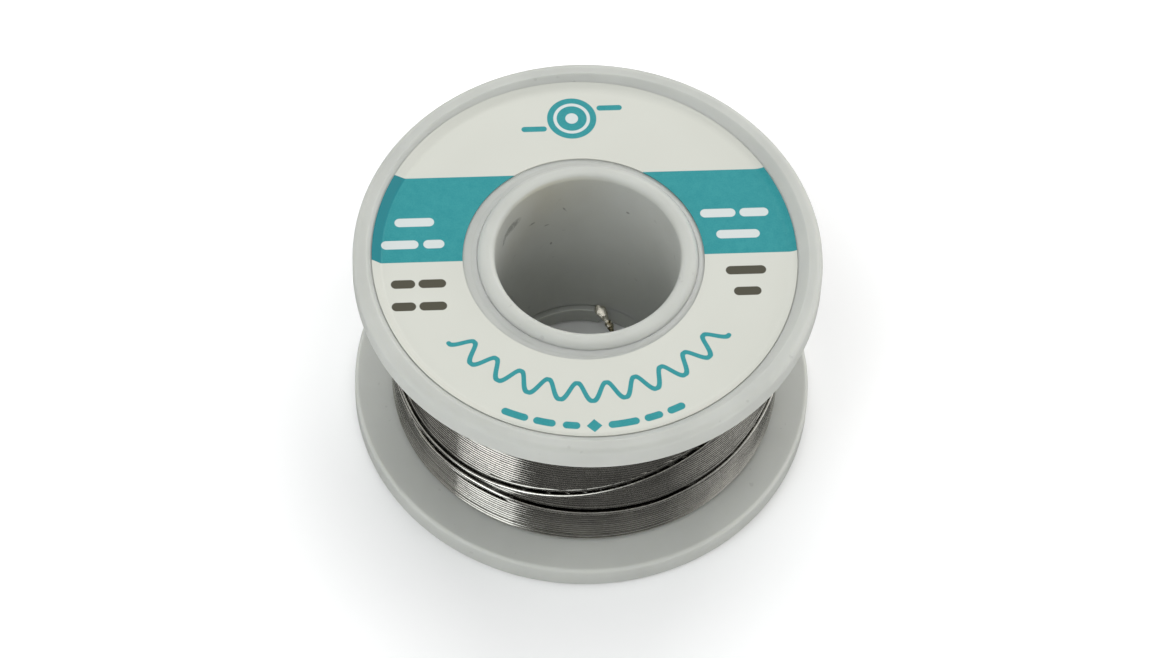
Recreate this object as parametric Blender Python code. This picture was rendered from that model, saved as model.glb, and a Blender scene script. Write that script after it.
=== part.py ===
"""Solder wire spool: two pressed-on flanges on a hub tube, one label, one long solder wire.

Metres, +Z up along the spool's axis, origin under the middle of the bottom face.
Run with: blender --background --python part.py
"""

import bmesh
import bpy
from math import atan2, cos, hypot, pi, radians, sin
from mathutils import Vector

MM = 0.001

# Driving dimensions, in millimetres.
SPOOL_HEIGHT = 32.0          # outer face to outer face
FLANGE_RADIUS = 29.0
FLANGE_THICKNESS = 3.7       # at the rim
RECESS_DEPTH = 1.45          # label recess below the rim's crest
RECESS_RADIUS = 25.3         # flat floor of the recess
CREST_INNER_RADIUS = 27.3    # where the slope up from the recess meets the crest
RIM_SHOULDER = 0.9           # rounding of the rim's outer shoulder
RIM_INNER_EDGE = 0.5         # rounding of the rim's edge on the wire's side
BORE_RADIUS = 11.5           # inside of the hub tube
HUB_BODY_RADIUS = 14.9       # the wire is wound on this
SPIGOT_RADIUS = 13.7         # the hub's ends, pressed into the flanges
LIP_BELOW_CREST = 0.2        # the hub's top end stands this far below the rim's crest
LIP_INNER_ROUND = 0.8
LIP_OUTER_ROUND = 0.55
SPINDLE_HOLE_RADIUS = 10.6   # hole in the bottom flange, under the hub's end
SEAT_HEIGHT = 2.9            # ledge in the bottom flange that the hub stands on
WINDING_RADIUS = 24.6
WIRE_DIAMETER = 0.5
GAP = 0.25                   # between neighbouring pieces
LABEL_INNER_RADIUS = 14.95
LABEL_OUTER_RADIUS = 26.45
LABEL_SHIFT_X = -0.5         # the label is stuck on a little off centre
LABEL_THICKNESS = 0.15
LABEL_GAP = 0.06

# Anchor slot in the hub's lower end, where the wire starts.
ANCHOR_AZIMUTH = 82.0
ANCHOR_WIDTH = 1.4
ANCHOR_TOP = 5.0

TURNED_SEGMENTS = 80
LABEL_SEGMENTS = 64
ARC_STEPS = 4

TOP_RECESS_FLOOR = SPOOL_HEIGHT - RECESS_DEPTH
TOP_INNER_FACE = SPOOL_HEIGHT - FLANGE_THICKNESS
RECESS_SLOPE = atan2(RECESS_DEPTH, CREST_INNER_RADIUS - RECESS_RADIUS)
SOCKET_RADIUS = SPIGOT_RADIUS + GAP


def clear_scene():
    for old in list(bpy.data.objects):
        bpy.data.objects.remove(old, do_unlink=True)


def plain_material(name, colour, roughness, metallic=0.0):
    material = bpy.data.materials.new(name)
    material.use_nodes = True
    shader = material.node_tree.nodes["Principled BSDF"]
    shader.inputs["Base Color"].default_value = (*colour, 1.0)
    shader.inputs["Roughness"].default_value = roughness
    shader.inputs["Metallic"].default_value = metallic
    return material


def arc(centre_r, centre_z, radius, start_deg, end_deg, steps=ARC_STEPS):
    """Points on a rounding of a turned profile; 0 degrees points away from the axis."""
    points = []
    for i in range(steps + 1):
        angle = radians(start_deg + (end_deg - start_deg) * i / steps)
        points.append((centre_r + radius * cos(angle), centre_z + radius * sin(angle)))
    return points


def object_from_bmesh(name, bm, material, smooth_angle=32):
    bmesh.ops.recalc_face_normals(bm, faces=bm.faces)
    mesh = bpy.data.meshes.new(name)
    bm.to_mesh(mesh)
    bm.free()
    mesh.materials.append(material)
    mesh.shade_smooth()
    mesh.set_sharp_from_angle(angle=radians(smooth_angle))
    obj = bpy.data.objects.new(name, mesh)
    bpy.context.scene.collection.objects.link(obj)
    return obj


def turned_ring(name, profile, material, segments=TURNED_SEGMENTS):
    """A closed profile of (radius, height) points in mm, turned about the spool's axis."""
    bm = bmesh.new()
    rings = []
    for i in range(segments):
        angle = 2 * pi * i / segments
        rings.append([
            bm.verts.new((r * cos(angle) * MM, r * sin(angle) * MM, z * MM)) for r, z in profile
        ])
    count = len(profile)
    for i in range(segments):
        here, there = rings[i], rings[(i + 1) % segments]
        for k in range(count):
            n = (k + 1) % count
            bm.faces.new((here[k], there[k], there[n], here[n]))
    return object_from_bmesh(name, bm, material)


def rim_profile():
    """The flange's outline from its recess floor, over the rim, to its inner face.

    Heights are measured down from the crest of the rim."""
    shoulder = arc(FLANGE_RADIUS - RIM_SHOULDER, -RIM_SHOULDER, RIM_SHOULDER, 90, 0)
    edge_z = RIM_INNER_EDGE - FLANGE_THICKNESS
    inner_edge = arc(FLANGE_RADIUS - RIM_INNER_EDGE, edge_z, RIM_INNER_EDGE, 0, -90, 3)
    slope = [(RECESS_RADIUS, -RECESS_DEPTH), (CREST_INNER_RADIUS, 0.0)]
    return slope + shoulder + inner_edge


def make_top_flange(material):
    """The hub's spigot passes right through this flange."""
    profile = [(SOCKET_RADIUS, -RECESS_DEPTH)] + rim_profile() + [(SOCKET_RADIUS, -FLANGE_THICKNESS)]
    return turned_ring("top_flange", [(r, SPOOL_HEIGHT + z) for r, z in profile], material)


def make_bottom_flange(material):
    """The same rim turned over, with a ledge that the hub's lower end stands on."""
    boss_face = 0.2
    boss_radius = 14.0
    hole = [
        (SPINDLE_HOLE_RADIUS + 0.4, boss_face),
        (boss_radius - 0.4, boss_face),
        (boss_radius, boss_face + 0.4),
        (boss_radius, RECESS_DEPTH),
    ]
    rim = [(r, -z) for r, z in rim_profile()]
    socket = [
        (SOCKET_RADIUS, FLANGE_THICKNESS),
        (SOCKET_RADIUS, SEAT_HEIGHT),
        (SPINDLE_HOLE_RADIUS, SEAT_HEIGHT),
        (SPINDLE_HOLE_RADIUS, boss_face + 0.4),
    ]
    return turned_ring("bottom_flange", hole + rim + socket, material)


def anchor_slot_cutter():
    """A box through the hub's wall, open at the hub's lower end."""
    low = SEAT_HEIGHT - 1.0
    length = 6.0
    middle = (BORE_RADIUS + HUB_BODY_RADIUS) / 2
    bm = bmesh.new()
    bmesh.ops.create_cube(bm, size=1.0)
    bmesh.ops.scale(bm, vec=(length * MM, ANCHOR_WIDTH * MM, (ANCHOR_TOP - low) * MM), verts=bm.verts)
    bmesh.ops.translate(bm, vec=(middle * MM, 0, (ANCHOR_TOP + low) / 2 * MM), verts=bm.verts)
    mesh = bpy.data.meshes.new("anchor_slot_cutter")
    bm.to_mesh(mesh)
    bm.free()
    cutter = bpy.data.objects.new("anchor_slot_cutter", mesh)
    cutter.rotation_euler.z = radians(ANCHOR_AZIMUTH)
    cutter.hide_render = True
    cutter.display_type = "WIRE"
    bpy.context.scene.collection.objects.link(cutter)
    return cutter


def make_hub_tube(material):
    """A stepped tube: its shoulders carry the flanges, its top end is the lip around the bore."""
    top = SPOOL_HEIGHT - LIP_BELOW_CREST
    upper_shoulder = TOP_INNER_FACE - GAP
    lower_shoulder = FLANGE_THICKNESS + GAP
    foot = SEAT_HEIGHT + GAP
    lip = arc(SPIGOT_RADIUS - LIP_OUTER_ROUND, top - LIP_OUTER_ROUND, LIP_OUTER_ROUND, 0, 90)
    mouth = arc(BORE_RADIUS + LIP_INNER_ROUND, top - LIP_INNER_ROUND, LIP_INNER_ROUND, 90, 180)
    profile = [
        (BORE_RADIUS, foot),
        (SPIGOT_RADIUS, foot),
        (SPIGOT_RADIUS, lower_shoulder),
        (HUB_BODY_RADIUS, lower_shoulder),
        (HUB_BODY_RADIUS, upper_shoulder),
        (SPIGOT_RADIUS, upper_shoulder),
    ] + lip + mouth
    hub = turned_ring("hub_tube", profile, material)
    cut = hub.modifiers.new("anchor_slot", "BOOLEAN")
    cut.operation = "DIFFERENCE"
    cut.solver = "EXACT"
    cut.object = anchor_slot_cutter()
    return hub


def label_point(flat_x, flat_y, height):
    """Where a point of the flat label lies: past the recess floor it climbs the rim's slope."""
    x = flat_x + LABEL_SHIFT_X
    radius = hypot(x, flat_y)
    climb = max(0.0, radius - RECESS_RADIUS)
    bent = radius - climb * (1 - cos(RECESS_SLOPE))
    z = TOP_RECESS_FLOOR + LABEL_GAP + height + climb * sin(RECESS_SLOPE)
    return Vector((x * bent / radius, flat_y * bent / radius, z)) * MM


def make_front_label(material):
    radii = [LABEL_INNER_RADIUS, 20.0, 24.6, 25.0, 25.4, 25.8, 26.1, LABEL_OUTER_RADIUS]
    bm = bmesh.new()
    layers = []
    for height in (0.0, LABEL_THICKNESS):
        layer = []
        for radius in radii:
            ring = []
            for i in range(LABEL_SEGMENTS):
                angle = 2 * pi * i / LABEL_SEGMENTS
                ring.append(bm.verts.new(label_point(radius * cos(angle), radius * sin(angle), height)))
            layer.append(ring)
        layers.append(layer)
    under, over = layers
    for i in range(LABEL_SEGMENTS):
        n = (i + 1) % LABEL_SEGMENTS
        for k in range(len(radii) - 1):
            bm.faces.new((over[k][i], over[k + 1][i], over[k + 1][n], over[k][n]))
            bm.faces.new((under[k][i], under[k][n], under[k + 1][n], under[k + 1][i]))
        bm.faces.new((over[-1][i], under[-1][i], under[-1][n], over[-1][n]))
        bm.faces.new((over[0][i], over[0][n], under[0][n], under[0][i]))
    return object_from_bmesh("front_label", bm, material)


def make_wire_winding(material):
    """The outer shape of the whole coil, which fills the space between the flanges."""
    low = FLANGE_THICKNESS + GAP
    high = TOP_INNER_FACE - GAP
    inner = HUB_BODY_RADIUS + GAP
    corner = WIRE_DIAMETER / 2
    profile = [
        (inner, low),
        (WINDING_RADIUS - corner, low),
        (WINDING_RADIUS, low + corner),
        (WINDING_RADIUS, high - corner),
        (WINDING_RADIUS - corner, high),
        (inner, high),
    ]
    return turned_ring("wire_winding", profile, material)


def tail_route():
    """Radius, azimuth and height of the wire's start: through the anchor slot, then into the bore."""
    return [
        (HUB_BODY_RADIUS - 0.1, 82.0, 4.45),
        (13.0, 82.0, 4.4),
        (11.9, 82.0, 4.1),
        (11.15, 81.0, 3.5),
        (10.75, 77.6, 3.3),
        (10.2, 72.5, 2.75),
        (9.3, 64.0, 2.1),
    ]


def make_wire_start_tail(material):
    curve = bpy.data.curves.new("wire_start_tail", "CURVE")
    curve.dimensions = "3D"
    curve.bevel_depth = WIRE_DIAMETER / 2 * MM
    curve.bevel_resolution = 2
    curve.use_fill_caps = True
    points = smooth_points(tail_route(), 4)
    spline = curve.splines.new("POLY")
    spline.points.add(len(points) - 1)
    for target, point in zip(spline.points, points):
        target.co = (*point, 1.0)
    curve.materials.append(material)
    obj = bpy.data.objects.new("wire_start_tail", curve)
    bpy.context.scene.collection.objects.link(obj)
    return obj


def smooth_points(route, steps):
    """A Catmull-Rom curve through a route given as radius, azimuth and height."""
    knots = [
        Vector((r * cos(radians(a)), r * sin(radians(a)), z)) * MM for r, a, z in route
    ]
    padded = [2 * knots[0] - knots[1]] + knots + [2 * knots[-1] - knots[-2]]
    points = []
    for k in range(1, len(padded) - 2):
        p0, p1, p2, p3 = padded[k - 1:k + 3]
        for i in range(steps):
            t = i / steps
            straight = 2 * p1 + (p2 - p0) * t
            bend = (2 * p0 - 5 * p1 + 4 * p2 - p3) * t * t
            twist = (3 * p1 - p0 - 3 * p2 + p3) * t * t * t
            points.append((straight + bend + twist) / 2)
    points.append(knots[-1])
    return points


def main():
    clear_scene()
    plastic = (0.56, 0.57, 0.54)
    hub_plastic = plain_material("hub_plastic", plastic, 0.35)
    top_plastic = plain_material("top_flange_plastic", plastic, 0.35)
    bottom_plastic = plain_material("bottom_flange_plastic", plastic, 0.35)
    paper = plain_material("label_paper", (0.71, 0.71, 0.64), 0.45)
    solder = plain_material("winding_solder", (0.32, 0.32, 0.30), 0.35, 1.0)
    tail_solder = plain_material("tail_solder", (0.6, 0.58, 0.52), 0.3, 1.0)
    make_hub_tube(hub_plastic)
    make_top_flange(top_plastic)
    make_bottom_flange(bottom_plastic)
    make_front_label(paper)
    make_wire_winding(solder)
    make_wire_start_tail(tail_solder)


main()
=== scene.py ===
"""The looks of the solder wire spool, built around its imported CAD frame.

Every piece is made in metres in the row's own frame. Sizes that the frame knows are read from it;
the rest are named here in millimetres and degrees. The coil's outer two layers are real turns of wire,
parted by creases with loose strands along them. A plain core stands for the layers inside.
"""

from math import atan2, cos, floor, hypot, pi, radians, sin, tan

import bmesh
import bpy
import numpy as np
from mathutils import Matrix, Vector, noise


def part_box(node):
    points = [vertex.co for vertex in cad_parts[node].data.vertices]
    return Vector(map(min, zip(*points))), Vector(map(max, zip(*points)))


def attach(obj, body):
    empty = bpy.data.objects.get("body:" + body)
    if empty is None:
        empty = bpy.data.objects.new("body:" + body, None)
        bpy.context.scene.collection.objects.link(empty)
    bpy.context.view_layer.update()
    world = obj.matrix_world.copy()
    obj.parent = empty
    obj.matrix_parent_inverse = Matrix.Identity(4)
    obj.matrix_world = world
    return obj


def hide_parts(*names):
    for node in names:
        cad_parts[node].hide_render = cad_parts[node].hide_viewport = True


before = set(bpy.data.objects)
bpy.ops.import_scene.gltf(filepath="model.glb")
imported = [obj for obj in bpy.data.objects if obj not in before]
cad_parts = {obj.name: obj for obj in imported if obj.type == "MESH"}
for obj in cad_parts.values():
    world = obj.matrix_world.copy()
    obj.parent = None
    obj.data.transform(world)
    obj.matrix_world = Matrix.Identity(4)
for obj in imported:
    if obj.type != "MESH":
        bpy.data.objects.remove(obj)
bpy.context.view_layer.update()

MM = 0.001
TURN = 2 * pi

# What the frame knows, in millimetres.
FLANGE_LOW, FLANGE_HIGH = (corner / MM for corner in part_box("top_flange"))
HUB_LOW, HUB_HIGH = (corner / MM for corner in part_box("hub_tube"))
COIL_LOW, COIL_HIGH = (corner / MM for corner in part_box("wire_winding"))
FLANGE_RADIUS = FLANGE_HIGH.x
SPOOL_HEIGHT = FLANGE_HIGH.z
FLANGE_THICKNESS = FLANGE_HIGH.z - FLANGE_LOW.z
HUB_BODY_RADIUS = HUB_HIGH.x
HUB_TOP = HUB_HIGH.z
HUB_FOOT = HUB_LOW.z
COIL_RADIUS = COIL_HIGH.x

# Turned shapes.
RECESS_DEPTH = 1.45
RECESS_RADIUS = 25.5
CREST_INNER_RADIUS = 27.3
RIM_SHOULDER = 0.9
RIM_INNER_EDGE = 0.5
BORE_RADIUS = 11.5
BORE_TAPER = 0.25            # the bore's draft: how much narrower it is at its foot
SPIGOT_RADIUS = 13.7
LIP_OUTER_ROUND = 1.1
LIP_INNER_ROUND = 0.8
COLLAR_HEIGHT = -1.05        # from the crest: the recess rises to a low collar against the hub's lip
COLLAR_FOOT_RADIUS = 14.4
SOCKET_RADIUS = 13.95
SPINDLE_HOLE_RADIUS = 10.6
SEAT_HEIGHT = 2.9
SHOULDER_GAP = 0.25
TURNED_SEGMENTS = 256

# Label.
LABEL_INNER_RADIUS = 14.95
LABEL_OUTER_RADIUS = 26.45
LABEL_SHIFT_X = -0.5
LABEL_TURN = 5.5             # anticlockwise on the flange
LABEL_THICKNESS = 0.15
LABEL_GAP = 0.06
LABEL_FOLD_RADIUS = 24.9     # past this its left side bends up the rim, and its teal there is painted darker as painted shade
BAND_HEIGHT = 12.6
BAR_HEIGHT = 1.25

# Wire.
WIRE_DIAMETER = 0.5
WIRE_CLEARANCE = 0.015       # taken off the radius of a drawn turn, so that neighbours stay apart
WIRE_WOBBLE = 0.03
TURN_PITCH = 0.504
COIL_SHIFT_X = 0.27          # the coil is wound a little off the axis
OUTER_TURN_RADIUS = COIL_RADIUS - WIRE_DIAMETER / 2
UNDER_TURN_RADIUS = OUTER_TURN_RADIUS - WIRE_DIAMETER * 0.87

# Gaps between turns, low in the coil: the number of turns below each and its width.
LAYER_GAPS = ((1.4, 0.22),)

# Creases in the coil, where wound turns parted: knots of azimuth, height and half opening, then
# how far the wire below the crease stands out.
CREASES = (
    (((40, 17.2, 0.1), (90, 17.0, 0.2), (150, 16.4, 0.2), (185, 15.6, 0.2), (205, 14.35, 0.32),
      (215, 13.5, 0.32), (230, 13.15, 0.30), (240, 13.35, 0.32), (250, 13.9, 0.32), (260, 14.55, 0.32),
      (270, 15.35, 0.24), (280, 16.5, 0.20), (290, 17.75, 0.22), (300, 19.0, 0.30), (308, 20.0, 0.30),
      (320, 21.6, 0.25), (340, 24.0, 0.1)), 0.40),
    (((204, 12.5, 0.1), (217, 11.6, 0.26), (230, 11.55, 0.30), (240, 11.6, 0.30), (250, 11.45, 0.30),
      (260, 11.25, 0.30), (290, 11.25, 0.30), (300, 11.5, 0.30), (310, 11.75, 0.2), (320, 12.05, 0.2),
      (330, 12.6, 0.2), (350, 13.4, 0.2), (390, 14.2, 0.15), (430, 14.4, 0.1)), 0.40),
    (((150, 14.4, 0.1), (180, 13.9, 0.15), (198, 12.95, 0.2), (210, 12.3, 0.2), (222, 11.95, 0.1)), 0.30),
    (((160, 11.6, 0.1), (205, 11.1, 0.15), (212, 10.7, 0.18), (222, 10.3, 0.18), (250, 10.25, 0.1)), 0.12),
)
CREASE_DEPTH = 1.3           # how far turns dive under a crease
CREASE_SAG = 0.25            # how far the middle of the dive lies below the crease
CREASE_REACH = 0.34          # how far turns dive beyond the crease's opening
CREASE_FADE = 8              # degrees over which the dive fades in and out at its ends
UPPER_STRAND_LIFT = 0.08     # how far the wire above a crease stands out

# The wire's start: radius, azimuth, height, and the section's width and thickness, as parts of the
# wire's diameter. It comes out of the coil through the anchor slot and is squashed in the bore.
TAIL_ROUTE = (
    (14.8, 82.0, 3.9, 1.0, 1.0), (13.0, 82.0, 3.6, 1.0, 1.0), (11.7, 82.0, 3.35, 1.0, 1.0),
    (11.1, 81.0, 3.25, 2.2, 0.8), (10.7, 79.4, 3.2, 3.0, 0.55), (10.35, 77.2, 3.05, 2.5, 0.5),
    (9.95, 74.8, 2.87, 1.8, 0.6), (9.6, 72.6, 2.85, 1.4, 0.9), (9.3, 70.6, 2.9, 1.9, 0.7),
    (9.0, 68.3, 2.85, 1.8, 0.6), (8.75, 66.6, 2.8, 1.4, 0.8), (8.5, 65.2, 2.75, 0.9, 0.9),
)
TAIL_STAIN_X = 2.3           # the start is stained past here
TAIL_FLAT_SIDE = (0.81, 0.55, 0.17)

# Anchor slot in the hub.
ANCHOR_AZIMUTH = 82.0
ANCHOR_WIDTH = 0.9
ANCHOR_TOP = 4.4
ANCHOR_LEAN = 17.0           # how much its roof falls towards the bore
LEDGE_GAP_START = -20.0      # the ledge under the hub is missing from here to the anchor
LEDGE_GAP_END = 80.0

AGED_AZIMUTH = 132.0         # the bore's plastic is yellowest here

# Scuffs in the bore: azimuth, height, half width, half height, lean.
BORE_SCUFFS = (
    (147.5, 27.5, 1.6, 0.75, 0.0),
    (156.0, 27.0, 0.4, 0.9, 0.4),
    (129.0, 24.5, 0.45, 0.16, 0.0),
    (118.0, 22.7, 0.35, 0.13, 0.0),
    (114.7, 18.3, 0.16, 0.25, 0.0),
    (106.4, 25.1, 0.12, 0.5, -0.5),
    (65.6, 25.8, 0.25, 0.2, 0.0),
)

# Colours.
NATURAL_PLASTIC = (0.55, 0.56, 0.53)
AGED_PLASTIC = (0.44, 0.42, 0.33)
SCUFF = (0.10, 0.10, 0.085)
WOUND_SOLDER = (0.595, 0.58, 0.535)
# painted highlight: the loose strands and the wire's start are the coil's solder, coloured paler
LOOSE_SOLDER_PAINTED_BRIGHT = (0.93, 0.91, 0.85)
# painted highlight: the bent start is coloured paler still
BENT_SOLDER_PAINTED_BRIGHT = (0.98, 0.94, 0.82)
# painted shade: the dark colour given to wire deeper than the coil's outer layer
PAINTED_CREASE_SHADE = (0.06, 0.058, 0.05)
FLUX_RESIDUE = (0.20, 0.165, 0.08)
PAPER = (0.60, 0.605, 0.55)
PAPER_PALE = (0.62, 0.625, 0.57)
TEAL = (0.022, 0.25, 0.275)
TEAL_PALE = (0.036, 0.29, 0.31)
# painted shade: the teal of the label's strip that bends up the rim on the left
TEAL_PAINTED_FOLD_SHADE = (0.004, 0.20, 0.235)
LIGHT_INK = (0.62, 0.66, 0.65)
DARK_INK = (0.075, 0.07, 0.05)

# Camera.
CAMERA_ELEVATION = 56.854
CAMERA_ROLL = 2.921
CAMERA_DISTANCE = 614.92
CAMERA_TARGET = (0.10, 0.0, 14.69)
CAMERA_LENS = 150.04


# ---------------------------------------------------------------- node helpers

class Maths:
    """Wraps a socket so that a shader's arithmetic reads like arithmetic."""

    def __init__(self, tree, socket):
        self.tree = tree
        self.socket = socket

    def _node(self, operation, *others, clamp=False):
        node = self.tree.nodes.new("ShaderNodeMath")
        node.operation = operation
        node.use_clamp = clamp
        for slot, value in zip(node.inputs, (self, *others)):
            if isinstance(value, Maths):
                self.tree.links.new(value.socket, slot)
            else:
                slot.default_value = value
        return Maths(self.tree, node.outputs[0])

    def __add__(self, other):
        return self._node("ADD", other)

    def __sub__(self, other):
        return self._node("SUBTRACT", other)

    def __mul__(self, other):
        return self._node("MULTIPLY", other)

    def __truediv__(self, other):
        return self._node("DIVIDE", other)

    def abs(self):
        return self._node("ABSOLUTE")

    def sqrt(self):
        return self._node("SQRT")

    def sin(self):
        return self._node("SINE")

    def cos(self):
        return self._node("COSINE")

    def atan2(self, other):
        return self._node("ARCTAN2", other)

    def max(self, other):
        return self._node("MAXIMUM", other)

    def ramp(self, low, high):
        """0 at low, 1 at high, clamped; low may be above high."""
        return (self - low)._node("DIVIDE", high - low, clamp=True)


class Shader:
    """A Principled material being built, with short names for the nodes that it uses."""

    def __init__(self, name):
        self.material = bpy.data.materials.new(name)
        self.material.use_nodes = True
        self.tree = self.material.node_tree
        self.bsdf = self.tree.nodes["Principled BSDF"]
        self.coordinates = self.tree.nodes.new("ShaderNodeTexCoord").outputs["Object"]

    def set(self, **values):
        for name, value in values.items():
            self.bsdf.inputs[name.replace("_", " ")].default_value = value

    def link(self, value, name):
        socket = value.socket if isinstance(value, Maths) else value
        self.tree.links.new(socket, self.bsdf.inputs[name])

    def xyz(self):
        """Object coordinates in millimetres."""
        split = self.tree.nodes.new("ShaderNodeSeparateXYZ")
        self.tree.links.new(self.coordinates, split.inputs[0])
        return [Maths(self.tree, output) / MM for output in split.outputs]

    def combine(self, x, y, z):
        node = self.tree.nodes.new("ShaderNodeCombineXYZ")
        for slot, value in zip(node.inputs, (x, y, z)):
            if isinstance(value, Maths):
                self.tree.links.new(value.socket, slot)
            else:
                slot.default_value = value
        return node.outputs[0]

    def noise(self, per_mm, detail=2.0, roughness=0.5, vector=None, stretch=None):
        """Smooth noise around 0.5, with about per_mm blobs in a millimetre."""
        node = self.tree.nodes.new("ShaderNodeTexNoise")
        node.inputs["Scale"].default_value = per_mm if vector is not None else per_mm / MM
        node.inputs["Detail"].default_value = detail
        node.inputs["Roughness"].default_value = roughness
        source = vector if vector is not None else self.coordinates
        if stretch is not None:
            mapping = self.tree.nodes.new("ShaderNodeMapping")
            mapping.inputs["Scale"].default_value = stretch
            self.tree.links.new(source, mapping.inputs["Vector"])
            source = mapping.outputs[0]
        self.tree.links.new(source, node.inputs["Vector"])
        return Maths(self.tree, node.outputs["Fac"])

    def mix(self, factor, first, second):
        """Colour that goes from first to second; each is a colour or a socket."""
        node = self.tree.nodes.new("ShaderNodeMix")
        node.data_type = "RGBA"
        node.clamp_factor = True
        self.tree.links.new(factor.socket, node.inputs["Factor"])
        for slot, value in ((node.inputs[6], first), (node.inputs[7], second)):
            if isinstance(value, tuple):
                slot.default_value = (*value, 1.0)
            else:
                self.tree.links.new(value, slot)
        return node.outputs[2]

    def bump(self, height, depth_mm):
        node = self.tree.nodes.new("ShaderNodeBump")
        node.inputs["Strength"].default_value = 1.0
        node.inputs["Distance"].default_value = depth_mm * MM
        self.tree.links.new(height.socket, node.inputs["Height"])
        self.tree.links.new(node.outputs[0], self.bsdf.inputs["Normal"])


# ---------------------------------------------------------------- materials

def plastic_shader(name, scatter):
    """Natural, milky moulded plastic with faint clouding and dust; light scatters that many mm in it."""
    tint = NATURAL_PLASTIC
    shader = Shader(name)
    cloud = shader.noise(0.12, detail=3.0)
    fine = shader.noise(1.4, detail=4.0, roughness=0.6)
    speck = shader.noise(0.9, detail=1.0).ramp(0.74, 0.78)
    darker = tuple(channel * 0.94 for channel in tint)
    grey = tuple(channel * 0.55 for channel in tint)
    base = shader.mix(cloud.ramp(0.35, 0.65), darker, tint)
    base = shader.mix(speck * 0.25, base, grey)
    shader.link(base, "Base Color")
    shader.link(fine * 0.14 + 0.30, "Roughness")
    shader.set(IOR=1.5, Subsurface_Weight=0.85, Subsurface_Scale=scatter * MM)
    shader.bsdf.inputs["Subsurface Radius"].default_value = (1.0, 1.0, 0.9)
    shader.bump(fine * 0.5 + shader.noise(0.35, detail=2.0) * 2.0, 0.012)
    return shader, base


def flange_material(name):
    shader, base = plastic_shader(name, 1.0)
    return shader.material


def hub_material(name):
    """The hub's plastic, yellowed near the top of the bore and scuffed where spindles have rubbed."""
    shader, base = plastic_shader(name, 2.2)
    x, y, z = shader.xyz()
    azimuth = y.atan2(x) * (180 / pi)
    radius = (x * x + y * y).sqrt()
    on_wall = radius.ramp(BORE_RADIUS + 0.3, BORE_RADIUS + 0.1)
    drift = shader.noise(0.15, detail=2.0)
    from_aged_side = (azimuth - AGED_AZIMUTH).abs()
    old = from_aged_side.ramp(62.0, 15.0) * z.ramp(18.0, 29.0) * on_wall * drift.ramp(0.2, 0.6)
    base = shader.mix(old * 0.55, base, AGED_PLASTIC)
    scuffs = None
    for turn, height, half_width, half_height, lean in BORE_SCUFFS:
        across = ((azimuth - turn) * (pi / 180 * BORE_RADIUS) + (z - height) * lean).abs() / half_width
        along = (z - height).abs() / half_height
        mark = (across * across + along * along).sqrt().ramp(1.25, 0.75)
        scuffs = mark if scuffs is None else scuffs.max(mark)
    scratchy = shader.noise(2.2, detail=3.0, roughness=0.7).ramp(0.30, 0.50)
    base = shader.mix(scuffs * scratchy * on_wall * 0.6, base, SCUFF)
    shader.link(base, "Base Color")
    return shader.material


def solder_material(name, colour, roughness, painted_shade_below=0.0, stain_from=None):
    """Drawn tin-lead wire: bright, a little dull in places, dented all along as it was pulled on.

    Its dents follow turns around the spool's axis. Nearer the axis than the given shade radius its
    colour is painted dark, as painted shade in the creases and the layers beneath, and it is brown
    with flux residue past stain_from along X.
    """
    shader = Shader(name)
    x, y, z = shader.xyz()
    radius = (x * x + y * y).sqrt()
    unrolled = shader.combine(y.atan2(x) * COIL_RADIUS, z, radius)
    dents = shader.noise(1.0, detail=1.0, vector=unrolled, stretch=(0.6, 5.0, 1.0))
    fine = shader.noise(5.0, detail=2.0)
    cloud = shader.noise(0.25, detail=3.0)
    dull = tuple(channel * 0.72 for channel in colour)
    tone = shader.mix((fine * 0.5 + cloud * 0.5).ramp(0.38, 0.60), dull, colour)
    if painted_shade_below:
        # Painted shade: wire deeper than the outer layer, in the creases and the layers beneath, is
        # coloured dark.
        tone = shader.mix(radius.ramp(painted_shade_below, painted_shade_below - 0.25), tone, PAINTED_CREASE_SHADE)
    if stain_from:
        resin = shader.noise(1.1, detail=2.0).ramp(0.44, 0.56) * x.ramp(stain_from, stain_from + 0.8)
        tone = shader.mix(resin * 0.9, tone, FLUX_RESIDUE)
    shader.link(tone, "Base Color")
    shader.link(fine * 0.08 + (roughness - 0.04), "Roughness")
    shader.set(Metallic=1.0)
    shader.bump(dents + fine * 0.03, 0.014)
    return shader.material


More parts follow.
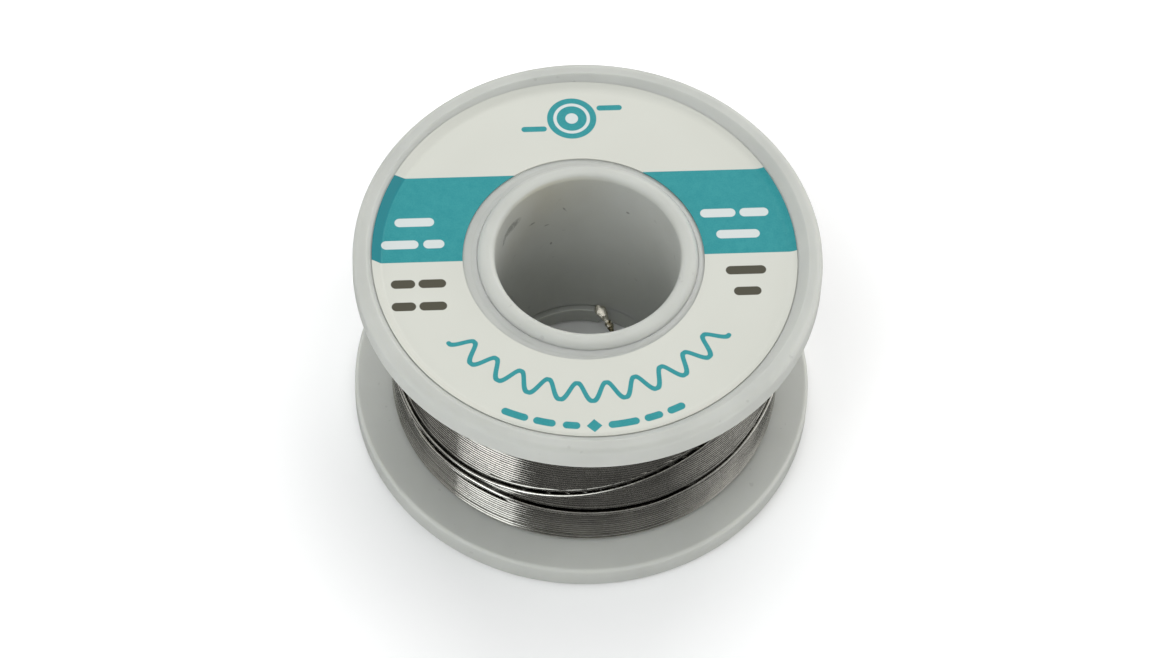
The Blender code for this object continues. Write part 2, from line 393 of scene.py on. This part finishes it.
class LabelInk:
    """Masks of the printed shapes, in the label's own millimetres: 1 inside a shape, 0 outside."""

    EDGE = 0.03

    def __init__(self, shader):
        x, y, z = shader.xyz()
        x = x - LABEL_SHIFT_X
        turn = radians(LABEL_TURN)
        self.x = x * cos(turn) + y * sin(turn)
        self.y = y * cos(turn) - x * sin(turn)
        self.radius = (self.x * self.x + self.y * self.y).sqrt()

    def inside(self, distance):
        return distance.ramp(self.EDGE, -self.EDGE)

    def band(self, low, high):
        middle = (low + high) / 2
        return self.inside((self.y - middle).abs() - (high - low) / 2)

    def bar(self, centre_x, centre_y, width, height):
        """A bar with round ends."""
        end = (width - height) / 2
        dx = ((self.x - centre_x).abs() - end).max(0.0)
        dy = self.y - centre_y
        return self.inside((dx * dx + dy * dy).sqrt() - height / 2)

    def ring(self, centre_x, centre_y, radius, stroke):
        dx = self.x - centre_x
        dy = self.y - centre_y
        return self.inside(((dx * dx + dy * dy).sqrt() - radius).abs() - stroke / 2)

    def dot(self, centre_x, centre_y, radius):
        dx = self.x - centre_x
        dy = self.y - centre_y
        return self.inside((dx * dx + dy * dy).sqrt() - radius)

    def diamond(self, centre_x, centre_y, half):
        return self.inside((self.x - centre_x).abs() + (self.y - centre_y).abs() - half)

    def from_bottom(self):
        """Angle from the label's bottom, positive to the right."""
        return self.x.atan2(self.y * -1.0)

    def wave(self, radius, swing, waves, half_angle, stroke):
        """A wavy line along an arc at the label's bottom, like a pulled-out coil of wire."""
        angle = self.from_bottom()
        step = pi * waves / half_angle
        crest = (angle * step).cos() * swing
        slope = (angle * step).sin() * (swing * step / radius)
        distance = (self.radius - radius - crest).abs() / (slope * slope + 1.0).sqrt() - stroke / 2
        cut = self.inside((angle.abs() - half_angle) * radius)
        dx = self.x.abs() - sin(half_angle) * (radius + swing)
        dy = self.y + cos(half_angle) * (radius + swing)
        ends = self.inside((dx * dx + dy * dy).sqrt() - stroke / 2)
        return (self.inside(distance) * cut).max(ends)

    def bar_row(self, radius, height, spans):
        """Bars with round ends along an arc at the label's bottom; spans are in degrees."""
        angle = self.from_bottom()
        row = None
        for start, end in spans:
            middle = radians((start + end) / 2)
            half = radians(end - start) / 2 - height / 2 / radius
            along = ((angle - middle).abs() - half).max(0.0) * radius
            across = self.radius - radius
            mask = self.inside((along * along + across * across).sqrt() - height / 2)
            row = mask if row is None else row.max(mask)
        return row


def any_of(masks):
    result = masks[0]
    for mask in masks[1:]:
        result = result.max(mask)
    return result


def label_material():
    """Off-white film, printed with a band and plain shapes in place of words."""
    shader = Shader("printed_label")
    ink = LabelInk(shader)
    white_bars = any_of([
        ink.bar(-20.7, 5.95, 4.9, BAR_HEIGHT),
        ink.bar(-22.6, 2.65, 4.6, BAR_HEIGHT),
        ink.bar(-18.4, 2.65, 2.6, BAR_HEIGHT),
        ink.bar(17.0, 6.1, 4.4, BAR_HEIGHT),
        ink.bar(21.5, 6.1, 3.6, BAR_HEIGHT),
        ink.bar(19.3, 2.9, 5.4, BAR_HEIGHT),
    ])
    grey_bars = any_of([
        ink.bar(-22.4, -3.2, 3.0, BAR_HEIGHT),
        ink.bar(-18.8, -3.2, 3.4, BAR_HEIGHT),
        ink.bar(-22.4, -6.5, 3.0, BAR_HEIGHT),
        ink.bar(-18.8, -6.5, 3.4, BAR_HEIGHT),
        ink.bar(19.9, -2.5, 5.0, BAR_HEIGHT),
        ink.bar(19.9, -5.6, 3.4, BAR_HEIGHT),
    ])
    teal_marks = any_of([
        ink.dot(-0.4, 21.1, 3.1),
        ink.bar(-5.2, 19.6, 3.2, 0.8),
        ink.bar(4.4, 22.6, 3.2, 0.8),
        ink.wave(19.65, 1.25, 10, radians(55.0), 0.62),
        ink.diamond(0.0, -24.45, 0.95),
        ink.bar_row(24.45, 1.0, [(-27, -19), (-17.5, -11), (-9, -4), (4, 13), (14.5, 20), (21.5, 27)]),
    ])
    mark_holes = any_of([ink.ring(-0.4, 21.1, 2.1, 0.42), ink.dot(-0.4, 21.1, 0.8)])
    band = ink.band(0.0, BAND_HEIGHT)
    paper_cloud = shader.noise(0.08, detail=2.0).ramp(0.3, 0.7)
    print_grain = shader.noise(5.0, detail=2.0)
    colour = shader.mix(paper_cloud, PAPER, PAPER_PALE)
    mottle = print_grain * 0.5 + shader.noise(0.9, detail=3.0, roughness=0.6) * 0.5
    teal = shader.mix(mottle.ramp(0.35, 0.65), TEAL, TEAL_PALE)
    # Painted shade: the teal is darkened on the strip at the left that bends up the rim's slope.
    fold_shade_mask = ink.radius.ramp(LABEL_FOLD_RADIUS, LABEL_FOLD_RADIUS + 0.15) * (ink.x * -1.0).ramp(2.0, 12.0)
    teal = shader.mix(fold_shade_mask, teal, TEAL_PAINTED_FOLD_SHADE)
    colour = shader.mix(band, colour, teal)
    colour = shader.mix(white_bars, colour, LIGHT_INK)
    colour = shader.mix(grey_bars, colour, DARK_INK)
    colour = shader.mix(teal_marks, colour, teal)
    colour = shader.mix(mark_holes, colour, LIGHT_INK)
    shader.link(colour, "Base Color")
    shader.link(print_grain * 0.08 + 0.30, "Roughness")
    shader.set(IOR=1.45)
    shader.bump(shader.noise(0.5, detail=3.0), 0.01)
    return shader.material


# ---------------------------------------------------------------- mesh helpers

def add_mesh(name, vertices, faces, material, smooth_angle=35.0):
    mesh = bpy.data.meshes.new(name)
    mesh.from_pydata(vertices, [], faces)
    mesh.validate()
    mesh.materials.append(material)
    mesh.shade_smooth()
    mesh.set_sharp_from_angle(angle=radians(smooth_angle))
    piece = bpy.data.objects.new(name, mesh)
    bpy.context.scene.collection.objects.link(piece)
    return piece


def finish_piece(piece, slot, *nodes):
    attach(piece, "root")
    if nodes:
        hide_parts(*nodes)


def rounded(corners, steps=8):
    """A closed outline from (radius, height, rounding) corners, each rounded by an exact arc."""
    outline = []
    count = len(corners)
    for i in range(count):
        r, z, rounding = corners[i]
        here = Vector((r, z))
        if rounding == 0:
            outline.append(tuple(here))
            continue
        before = (Vector(corners[i - 1][:2]) - here).normalized()
        after = (Vector(corners[(i + 1) % count][:2]) - here).normalized()
        half = before.angle(after) / 2
        centre = here + (before + after).normalized() * (rounding / sin(half))
        first = here + before * (rounding / tan(half)) - centre
        last = here + after * (rounding / tan(half)) - centre
        for k in range(steps + 1):
            spoke = first.normalized().slerp(last.normalized(), k / steps) * rounding
            outline.append(tuple(centre + spoke))
    return outline


def faces_round(segments, count):
    """Faces between copies of a closed outline of count points, which stand all the way round."""
    faces = []
    for i in range(segments):
        here = i * count
        there = (i + 1) % segments * count
        for k in range(count):
            n = (k + 1) % count
            faces.append((here + k, there + k, there + n, here + n))
    return faces


def turned(name, profile, material, segments=TURNED_SEGMENTS):
    """A closed (radius, height) outline in mm, turned about the axis."""
    vertices = []
    for i in range(segments):
        c, s = cos(TURN * i / segments), sin(TURN * i / segments)
        vertices += [(r * c * MM, r * s * MM, z * MM) for r, z in profile]
    piece = add_mesh(name, vertices, faces_round(segments, len(profile)), material)
    face_outward(piece)
    return piece


def face_outward(piece):
    bm = bmesh.new()
    bm.from_mesh(piece.data)
    bmesh.ops.recalc_face_normals(bm, faces=bm.faces)
    bm.to_mesh(piece.data)
    bm.free()


def tube(name, path, radius, sides, material, frame_axis=None, squeeze=None):
    """A round wire along path, in mm, with rounded ends. Its section leans on frame_axis if given.

    squeeze gives each point's width and thickness, as parts of the wire's diameter.
    """
    path = np.asarray(path, float)
    count = len(path)
    tangent = np.gradient(path, axis=0)
    tangent /= np.linalg.norm(tangent, axis=1)[:, None]
    if frame_axis is None:
        side = np.stack([path[:, 0] - COIL_SHIFT_X, path[:, 1], np.zeros(count)], 1)
    else:
        side = np.tile(np.asarray(frame_axis, float), (count, 1))
    side -= (side * tangent).sum(1)[:, None] * tangent
    side /= np.linalg.norm(side, axis=1)[:, None]
    up = np.cross(tangent, side)
    angles = np.arange(sides) * TURN / sides
    wide, thick = np.ones((2, count)) if squeeze is None else np.asarray(squeeze, float).T
    ring = (side * wide[:, None])[:, None, :] * np.cos(angles)[None, :, None]
    ring += (up * thick[:, None])[:, None, :] * np.sin(angles)[None, :, None]
    points = (path[:, None, :] + radius * ring).reshape(-1, 3)
    ends = []
    for end, sign in ((0, -1), (count - 1, 1)):
        for reach, shrink in ((0.6, 0.8), (0.9, 0.45)):
            centre = path[end] + sign * tangent[end] * radius * reach
            ends.append(centre[None] + ring[end] * radius * shrink)
    first_near, first_far, last_near, last_far = (len(points) + sides * k for k in range(4))
    points = np.concatenate([points, *ends])
    index = np.arange(sides)
    after = (index + 1) % sides

    def strip(a, b):
        return np.stack([a + index, a + after, b + after, b + index], 1)

    starts = np.arange(count - 1) * sides
    body = np.stack([
        (starts[:, None] + index).ravel(), (starts[:, None] + after).ravel(),
        (starts[:, None] + sides + after).ravel(), (starts[:, None] + sides + index).ravel(),
    ], 1)
    faces = np.concatenate([
        body, strip(first_near, 0), strip(first_far, first_near),
        strip((count - 1) * sides, last_near), strip(last_near, last_far),
    ]).tolist()
    faces.append((first_far + index[::-1]).tolist())
    faces.append((last_far + index).tolist())
    return add_mesh(name, (points * MM).tolist(), faces, material, smooth_angle=50.0)


# ---------------------------------------------------------------- plastic pieces

def rim_corners():
    """The flange's outline from the recess over the rim to the inner face, down from the crest."""
    return [
        (RECESS_RADIUS, -RECESS_DEPTH, 0.35),
        (CREST_INNER_RADIUS, 0.0, 0.3),
        (FLANGE_RADIUS, 0.0, RIM_SHOULDER),
        (FLANGE_RADIUS, -FLANGE_THICKNESS, RIM_INNER_EDGE),
    ]


def make_top_flange(material):
    collar_inner = SPIGOT_RADIUS + 0.01
    corners = [
        (SOCKET_RADIUS, -RECESS_DEPTH - 0.6, 0.0),
        (collar_inner, -RECESS_DEPTH - 0.3, 0.0),
        (collar_inner, COLLAR_HEIGHT, 0.03),
        (COLLAR_FOOT_RADIUS, -RECESS_DEPTH, 0.5),
        *rim_corners(),
        (SOCKET_RADIUS, -FLANGE_THICKNESS, 0.12),
    ]
    profile = rounded([(r, SPOOL_HEIGHT + z, rounding) for r, z, rounding in corners])
    flange = turned("top_flange_moulding", profile, material)
    finish_piece(flange, "top_flange_plastic", "top_flange")


def make_bottom_flange(material):
    boss_face = 0.2
    boss_radius = 14.0
    corners = [
        (SPINDLE_HOLE_RADIUS, boss_face, 0.35),
        (boss_radius, boss_face, 0.35),
        (boss_radius, RECESS_DEPTH, 0.15),
    ]
    corners += [(r, -z, rounding) for r, z, rounding in rim_corners()]
    corners += [
        (SOCKET_RADIUS, FLANGE_THICKNESS, 0.1),
        (SOCKET_RADIUS, SEAT_HEIGHT, 0.08),
        (SPINDLE_HOLE_RADIUS, SEAT_HEIGHT, 0.1),
    ]
    flange = turned("bottom_flange_moulding", rounded(corners), material)
    open_ledge(flange)
    finish_piece(flange, "bottom_flange_plastic", "bottom_flange")


def open_ledge(flange):
    """Takes the hub's ledge away to the right of the anchor, where the bore runs straight down."""
    flush = (BORE_RADIUS - BORE_TAPER - 0.01) * MM
    for vertex in flange.data.vertices:
        x, y, z = vertex.co
        radius = hypot(x, y)
        azimuth = atan2(y, x) * 180 / pi
        if LEDGE_GAP_START < azimuth < LEDGE_GAP_END and radius < flush:
            vertex.co.x *= flush / radius
            vertex.co.y *= flush / radius
            if z > SEAT_HEIGHT * MM / 2:
                vertex.co.z += (HUB_FOOT - SEAT_HEIGHT + 0.05) * MM


def slot_cutter():
    """A long box where the anchor slot goes, from below the hub's foot up to the slot's roof."""
    length = 6.0
    low = SEAT_HEIGHT - 1.0
    bm = bmesh.new()
    bmesh.ops.create_cube(bm, size=1.0)
    bmesh.ops.scale(bm, vec=(length * MM, ANCHOR_WIDTH * MM, (ANCHOR_TOP - low) * MM), verts=bm.verts)
    middle = (BORE_RADIUS + HUB_BODY_RADIUS) / 2 * MM
    bmesh.ops.translate(bm, vec=(middle, 0, (ANCHOR_TOP + low) / 2 * MM), verts=bm.verts)
    bmesh.ops.rotate(bm, cent=(HUB_BODY_RADIUS * MM, 0, ANCHOR_TOP * MM),
                     matrix=Matrix.Rotation(radians(-ANCHOR_LEAN), 3, "Y"), verts=bm.verts)
    turn = Matrix.Rotation(radians(ANCHOR_AZIMUTH), 3, "Z")
    bmesh.ops.rotate(bm, cent=(0, 0, 0), matrix=turn, verts=bm.verts)
    mesh = bpy.data.meshes.new("slot_cutter")
    bm.to_mesh(mesh)
    bm.free()
    cutter = bpy.data.objects.new("slot_cutter", mesh)
    bpy.context.scene.collection.objects.link(cutter)
    return cutter


def apply_cut(piece, cutter):
    """Cuts cutter out of piece for good, and removes the cutter."""
    modifier = piece.modifiers.new("cut", "BOOLEAN")
    modifier.operation = "DIFFERENCE"
    modifier.solver = "EXACT"
    modifier.object = cutter
    evaluated = piece.evaluated_get(bpy.context.evaluated_depsgraph_get())
    mesh = bpy.data.meshes.new_from_object(evaluated)
    piece.modifiers.clear()
    piece.data = mesh
    bpy.data.objects.remove(cutter, do_unlink=True)


def make_hub_tube(material):
    upper = SPOOL_HEIGHT - FLANGE_THICKNESS - SHOULDER_GAP
    lower = FLANGE_THICKNESS + SHOULDER_GAP
    corners = [
        (BORE_RADIUS - BORE_TAPER, HUB_FOOT, 0.05),
        (SPIGOT_RADIUS, HUB_FOOT, 0.1),
        (SPIGOT_RADIUS, lower, 0.0),
        (HUB_BODY_RADIUS, lower, 0.1),
        (HUB_BODY_RADIUS, upper, 0.1),
        (SPIGOT_RADIUS, upper, 0.0),
        (SPIGOT_RADIUS, HUB_TOP, LIP_OUTER_ROUND),
        (BORE_RADIUS, HUB_TOP, LIP_INNER_ROUND),
    ]
    hub = turned("hub_moulding", rounded(corners), material)
    apply_cut(hub, slot_cutter())
    finish_piece(hub, "hub_plastic", "hub_tube")


# ---------------------------------------------------------------- label

def label_point(flat_x, flat_y, height):
    """Where a point of the flat label lies: past the recess floor it climbs the rim's slope.

    It is creased on the left, where it overhangs most, and bends softly elsewhere.
    """
    slope = atan2(RECESS_DEPTH, CREST_INNER_RADIUS - RECESS_RADIUS)
    x = flat_x + LABEL_SHIFT_X
    radius = hypot(x, flat_y)
    bend_radius = 1.8 - 1.4 * max(0.0, -x / radius)
    reach = bend_radius * tan(slope / 2)
    past = radius - RECESS_RADIUS + reach
    turned_by = min(slope, max(0.0, past / bend_radius))
    beyond = max(0.0, past - bend_radius * slope)
    flat = min(past, 0.0) + bend_radius * sin(turned_by) + beyond * cos(slope)
    climb = bend_radius * (1 - cos(turned_by)) + beyond * sin(slope)
    bent = RECESS_RADIUS - reach + flat
    z = SPOOL_HEIGHT - RECESS_DEPTH + LABEL_GAP + height + climb
    return (x * bent / radius * MM, flat_y * bent / radius * MM, z * MM)


def make_label(material):
    """A ring whose outer part, where it bends, has rings of vertices close together."""
    flat_rings = [LABEL_INNER_RADIUS + 1.15 * k for k in range(8)]
    bent_rings = [23.5 + 0.1 * k for k in range(30)]
    radii = flat_rings + bent_rings
    outline = [(r, LABEL_THICKNESS) for r in radii]
    outline += [(LABEL_OUTER_RADIUS, LABEL_THICKNESS)]
    outline += [(r, 0.0) for r in reversed([*radii, LABEL_OUTER_RADIUS])]
    vertices = []
    for i in range(TURNED_SEGMENTS):
        angle = TURN * i / TURNED_SEGMENTS
        vertices += [label_point(r * cos(angle), r * sin(angle), h) for r, h in outline]
    faces = faces_round(TURNED_SEGMENTS, len(outline))
    label = add_mesh("printed_ring_label", vertices, faces, material)
    face_outward(label)
    finish_piece(label, "label_paper", "front_label")


# ---------------------------------------------------------------- wire

def wobble(position, seed, amount):
    """Smooth, repeatable noise along a wire."""
    return amount * noise.noise(Vector((position, seed, 0.5 * seed)))


def coil_point(azimuth, radius, z):
    return (COIL_SHIFT_X + radius * cos(azimuth), radius * sin(azimuth), z)


def layer_height(turns_up):
    """Height of a turn in a layer, from its number counted from the bottom; gaps where strands lie."""
    z = COIL_LOW.z + WIRE_DIAMETER / 2 - 0.1 + TURN_PITCH * turns_up
    for at_turn, width in LAYER_GAPS:
        z += width * min(1.0, max(0.0, turns_up - at_turn))
    return z


def crease_depth(azimuth, z):
    """How deep the layer's wire dives at a place to pass under a crease."""
    deepest = 0.0
    for knots, lift in CREASES:
        places, heights, halves = zip(*knots)
        around = (azimuth * 180 / pi - places[0]) % 360 + places[0]
        if around < places[-1]:
            height = np.interp(around, places, heights)
            half = np.interp(around, places, halves)
            fade = min(1.0, (around - places[0]) / CREASE_FADE, (places[-1] - around) / CREASE_FADE)
            reach = half + CREASE_REACH
            below = z - height + CREASE_SAG
            deepest = max(deepest, CREASE_DEPTH * fade / (1 + (below / reach) ** 10))
    return deepest


def crease_strand(knots, side, lift):
    """A wire that runs along one side of a crease (+1 above, -1 below) and sinks in at its ends."""
    steps = 14
    beside = 0.2 if side > 0 else 0.1
    curve = smooth_curve(knots, steps)
    path = []
    for i, (azimuth, z, half) in enumerate(curve):
        knots_from_end = min(i, len(curve) - 1 - i) / steps
        sunk = 0.6 * (1 - min(1.0, knots_from_end)) ** 2
        radius = OUTER_TURN_RADIUS + lift - sunk
        path.append(coil_point(radians(azimuth), radius, z + side * (half + beside)))
    return path


def layer_path(radius, steps_per_turn, seed):
    """One layer: turns side by side from the bottom flange to the top flange."""
    room_at_ends = 0.64
    turns = floor((COIL_HIGH.z - COIL_LOW.z - room_at_ends) / TURN_PITCH) - 1
    path = []
    for i in range(int(turns * steps_per_turn) + 1):
        turned_by = i / steps_per_turn
        azimuth = TURN * turned_by + seed
        r = radius + wobble(turned_by * 3.1, seed, WIRE_WOBBLE)
        r += wobble(turned_by * 0.37, seed + 7, WIRE_WOBBLE)
        z = layer_height(turned_by) + wobble(turned_by * 2.3, seed + 3, WIRE_WOBBLE)
        path.append(coil_point(azimuth, r - crease_depth(azimuth, z), z))
    return path


def smooth_curve(knots, steps):
    """Catmull-Rom through the knots, each a tuple of numbers."""
    knots = np.asarray(knots, float)
    padded = np.concatenate([[2 * knots[0] - knots[1]], knots, [2 * knots[-1] - knots[-2]]])
    points = []
    for k in range(1, len(padded) - 2):
        p0, p1, p2, p3 = padded[k - 1:k + 3]
        for i in range(steps):
            t = i / steps
            points.append((2 * p1 + (p2 - p0) * t + (2 * p0 - 5 * p1 + 4 * p2 - p3) * t * t
                           + (3 * p1 - p0 - 3 * p2 + p3) * t ** 3) / 2)
    points.append(knots[-1])
    return np.array(points)


def make_winding(material, loose_material):
    wire_radius = WIRE_DIAMETER / 2 - WIRE_CLEARANCE
    outer_path = layer_path(OUTER_TURN_RADIUS, steps_per_turn=144, seed=1.0)
    under_path = layer_path(UNDER_TURN_RADIUS, steps_per_turn=96, seed=2.3)
    outer = tube("solder_wire_outer_layer", outer_path, wire_radius, 10, material)
    under = tube("solder_wire_layer_below", under_path, wire_radius, 6, material)
    strands = []
    for number, (knots, lift) in enumerate(CREASES, 1):
        upper = crease_strand(knots, 1, UPPER_STRAND_LIFT)
        lower = crease_strand(knots, -1, lift)
        strands += [
            tube(f"solder_wire_upper_strand_{number}", upper, wire_radius, 12, material),
            tube(f"solder_wire_lower_strand_{number}", lower, wire_radius, 12, loose_material),
        ]
    core_outline = rounded([
        (HUB_BODY_RADIUS + 0.25, COIL_LOW.z, 0.0),
        (UNDER_TURN_RADIUS - wire_radius, COIL_LOW.z, 0.3),
        (UNDER_TURN_RADIUS - wire_radius, COIL_HIGH.z, 0.3),
        (HUB_BODY_RADIUS + 0.25, COIL_HIGH.z, 0.0),
    ], steps=3)
    core = turned("solder_wire_inner_layers", core_outline, material, segments=96)
    for piece in (under, core, *strands):
        finish_piece(piece, "winding_solder")
    finish_piece(outer, "winding_solder", "wire_winding")


def make_start_tail(material):
    """The wire's start: smooth through the slot and where it is flattened, lumpy past that."""
    steps = 8
    smooth_until = 5.5 * steps
    knots = [(r * cos(radians(a)), r * sin(radians(a)), z, w, t) for r, a, z, w, t in TAIL_ROUTE]
    curve = smooth_curve(knots, steps)
    path = curve[:, :3].copy()
    for i, point in enumerate(path):
        if i > smooth_until:
            point += [wobble(i * 0.4, 20 + axis, 0.20) for axis in range(3)]
    tail = tube("solder_wire_start", path, WIRE_DIAMETER / 2, 14, material,
                frame_axis=TAIL_FLAT_SIDE, squeeze=curve[:, 3:])
    finish_piece(tail, "tail_solder", "wire_start_tail")


# ---------------------------------------------------------------- studio

def make_camera():
    elevation = radians(CAMERA_ELEVATION)
    roll = radians(CAMERA_ROLL)
    target = Vector(CAMERA_TARGET) * MM
    back = Vector((0, -cos(elevation), sin(elevation)))
    right = Vector((1, 0, 0))
    up = back.cross(right)
    rolled_right = right * cos(roll) + up * sin(roll)
    rolled_up = up * cos(roll) - right * sin(roll)
    data = bpy.data.cameras.new("camera")
    data.lens = CAMERA_LENS
    data.sensor_width = 36.0
    data.clip_start = 0.01
    camera = bpy.data.objects.new("camera", data)
    matrix = Matrix((rolled_right, rolled_up, back)).transposed().to_4x4()
    matrix.translation = target + back * CAMERA_DISTANCE * MM
    camera.matrix_world = matrix
    bpy.context.scene.collection.objects.link(camera)
    bpy.context.scene.camera = camera


def make_floor():
    """Pale paper that glows a little more away from the spool, so that it looks evenly lit."""
    glow_start = 26.0
    glow_full = 70.0
    half = 3.0
    shader = Shader("floor_paper")
    grain = shader.noise(0.02, detail=2.0)
    shader.link(shader.mix(grain, (0.92, 0.92, 0.92), (0.94, 0.94, 0.94)), "Base Color")
    shader.set(Roughness=0.9, Specular_IOR_Level=0.2)
    x, y, z = shader.xyz()
    glow = (x * x + y * y).sqrt().ramp(glow_start, glow_full) * 0.36
    shader.bsdf.inputs["Emission Color"].default_value = (1.0, 1.0, 1.0, 1.0)
    shader.link(glow, "Emission Strength")
    corners = [(-half, -half, 0), (half, -half, 0), (half, half, 0), (-half, half, 0)]
    floor_sheet = add_mesh("floor", corners, [(0, 1, 2, 3)], shader.material)
    floor_sheet.visible_glossy = False


def make_surroundings():
    """A dim room with a soft ring of light above the horizon, brighter at the sides, and a pale ceiling."""
    world = bpy.data.worlds.new("studio")
    bpy.context.scene.world = world
    world.use_nodes = True
    tree = world.node_tree
    world.cycles.sampling_method = "NONE"
    background = tree.nodes["Background"]
    direction = tree.nodes.new("ShaderNodeTexCoord").outputs["Generated"]
    split = tree.nodes.new("ShaderNodeSeparateXYZ")
    tree.links.new(direction, split.inputs[0])
    x, y, z = (Maths(tree, output) for output in split.outputs)
    sides = (x * 0.8 + y * 0.6).ramp(0.1, 0.8) * 0.75 + x.ramp(-0.3, -0.9) * 0.38
    ring = (z + x.max(0.0) * 0.2).ramp(0.0, 0.45) * z.ramp(0.97, 0.78) * (sides + 0.17)
    ceiling = z.ramp(0.92, 0.97) * 0.9
    below = z.ramp(0.0, -0.05) * 0.06
    strength = ring.max(ceiling) + below
    tree.links.new(strength.socket, background.inputs["Strength"])
    background.inputs["Color"].default_value = (1.0, 1.0, 0.985, 1.0)


def add_softbox(name, azimuth, distance, height, tilt, size, power, colour=(1, 1, 1), mirrored=False):
    """A rectangular soft light that faces the spool's axis from an azimuth, tilted down.

    Its distance from the axis, height and size are in metres and its power in watts. Shiny wire
    shows it only if it is mirrored.
    """
    data = bpy.data.lights.new(name, "AREA")
    data.shape = "RECTANGLE"
    data.size, data.size_y = size
    data.energy = power
    data.color = colour
    light = bpy.data.objects.new(name, data)
    turn = Matrix.Rotation(radians(azimuth + 90), 4, "Z")
    face = Matrix.Rotation(radians(90 - tilt), 4, "X")
    place = Vector((cos(radians(azimuth)) * distance, sin(radians(azimuth)) * distance, height))
    light.matrix_world = Matrix.Translation(place) @ turn @ face
    light.visible_glossy = mirrored
    bpy.context.scene.collection.objects.link(light)


def make_studio():
    make_floor()
    make_surroundings()
    add_softbox("back_fill", 90, 0.68, 0.72, 45, (0.9, 0.6), 4.8)
    add_softbox("front_high_fill", 268, 0.68, 0.72, 45, (0.9, 0.6), 2.45)
    add_softbox("right_low_fill", 355, 0.9, 0.35, 20, (0.9, 0.5), 2.6)
    add_softbox("left_low_fill", 185, 0.9, 0.35, 20, (0.9, 0.5), 1.0)
    add_softbox("left_high_window", 225, 0.42, 0.85, 64, (0.35, 0.35), 0.6, (0.88, 0.96, 1.0))
    add_softbox("left_softbox", 226.5, 0.6, 0.65, 0, (0.31, 1.3), 2.05, (0.94, 0.98, 1.0), mirrored=True)
    make_camera()
    scene = bpy.context.scene
    scene.view_settings.view_transform = "Standard"
    scene.view_settings.look = "None"


def main():
    make_studio()
    make_top_flange(flange_material("natural_plastic_top"))
    make_bottom_flange(flange_material("natural_plastic_bottom"))
    make_hub_tube(hub_material("natural_plastic_hub"))
    make_label(label_material())
    # The wound wire gets painted shade below its outer layer.
    wound = solder_material("solder_wound", WOUND_SOLDER, 0.09, painted_shade_below=OUTER_TURN_RADIUS - 0.05)
    # Painted highlight: the loose strands are the coil's solder, coloured paler so that they read as lit.
    loose = solder_material("solder_strands_painted_bright", LOOSE_SOLDER_PAINTED_BRIGHT, 0.14)
    make_winding(wound, loose)
    # Painted highlight: the bent start is the same solder, coloured paler still; its brown flux residue is
    # a real stain.
    make_start_tail(solder_material("solder_bent_painted_bright", BENT_SOLDER_PAINTED_BRIGHT, 0.22, stain_from=TAIL_STAIN_X))


main()
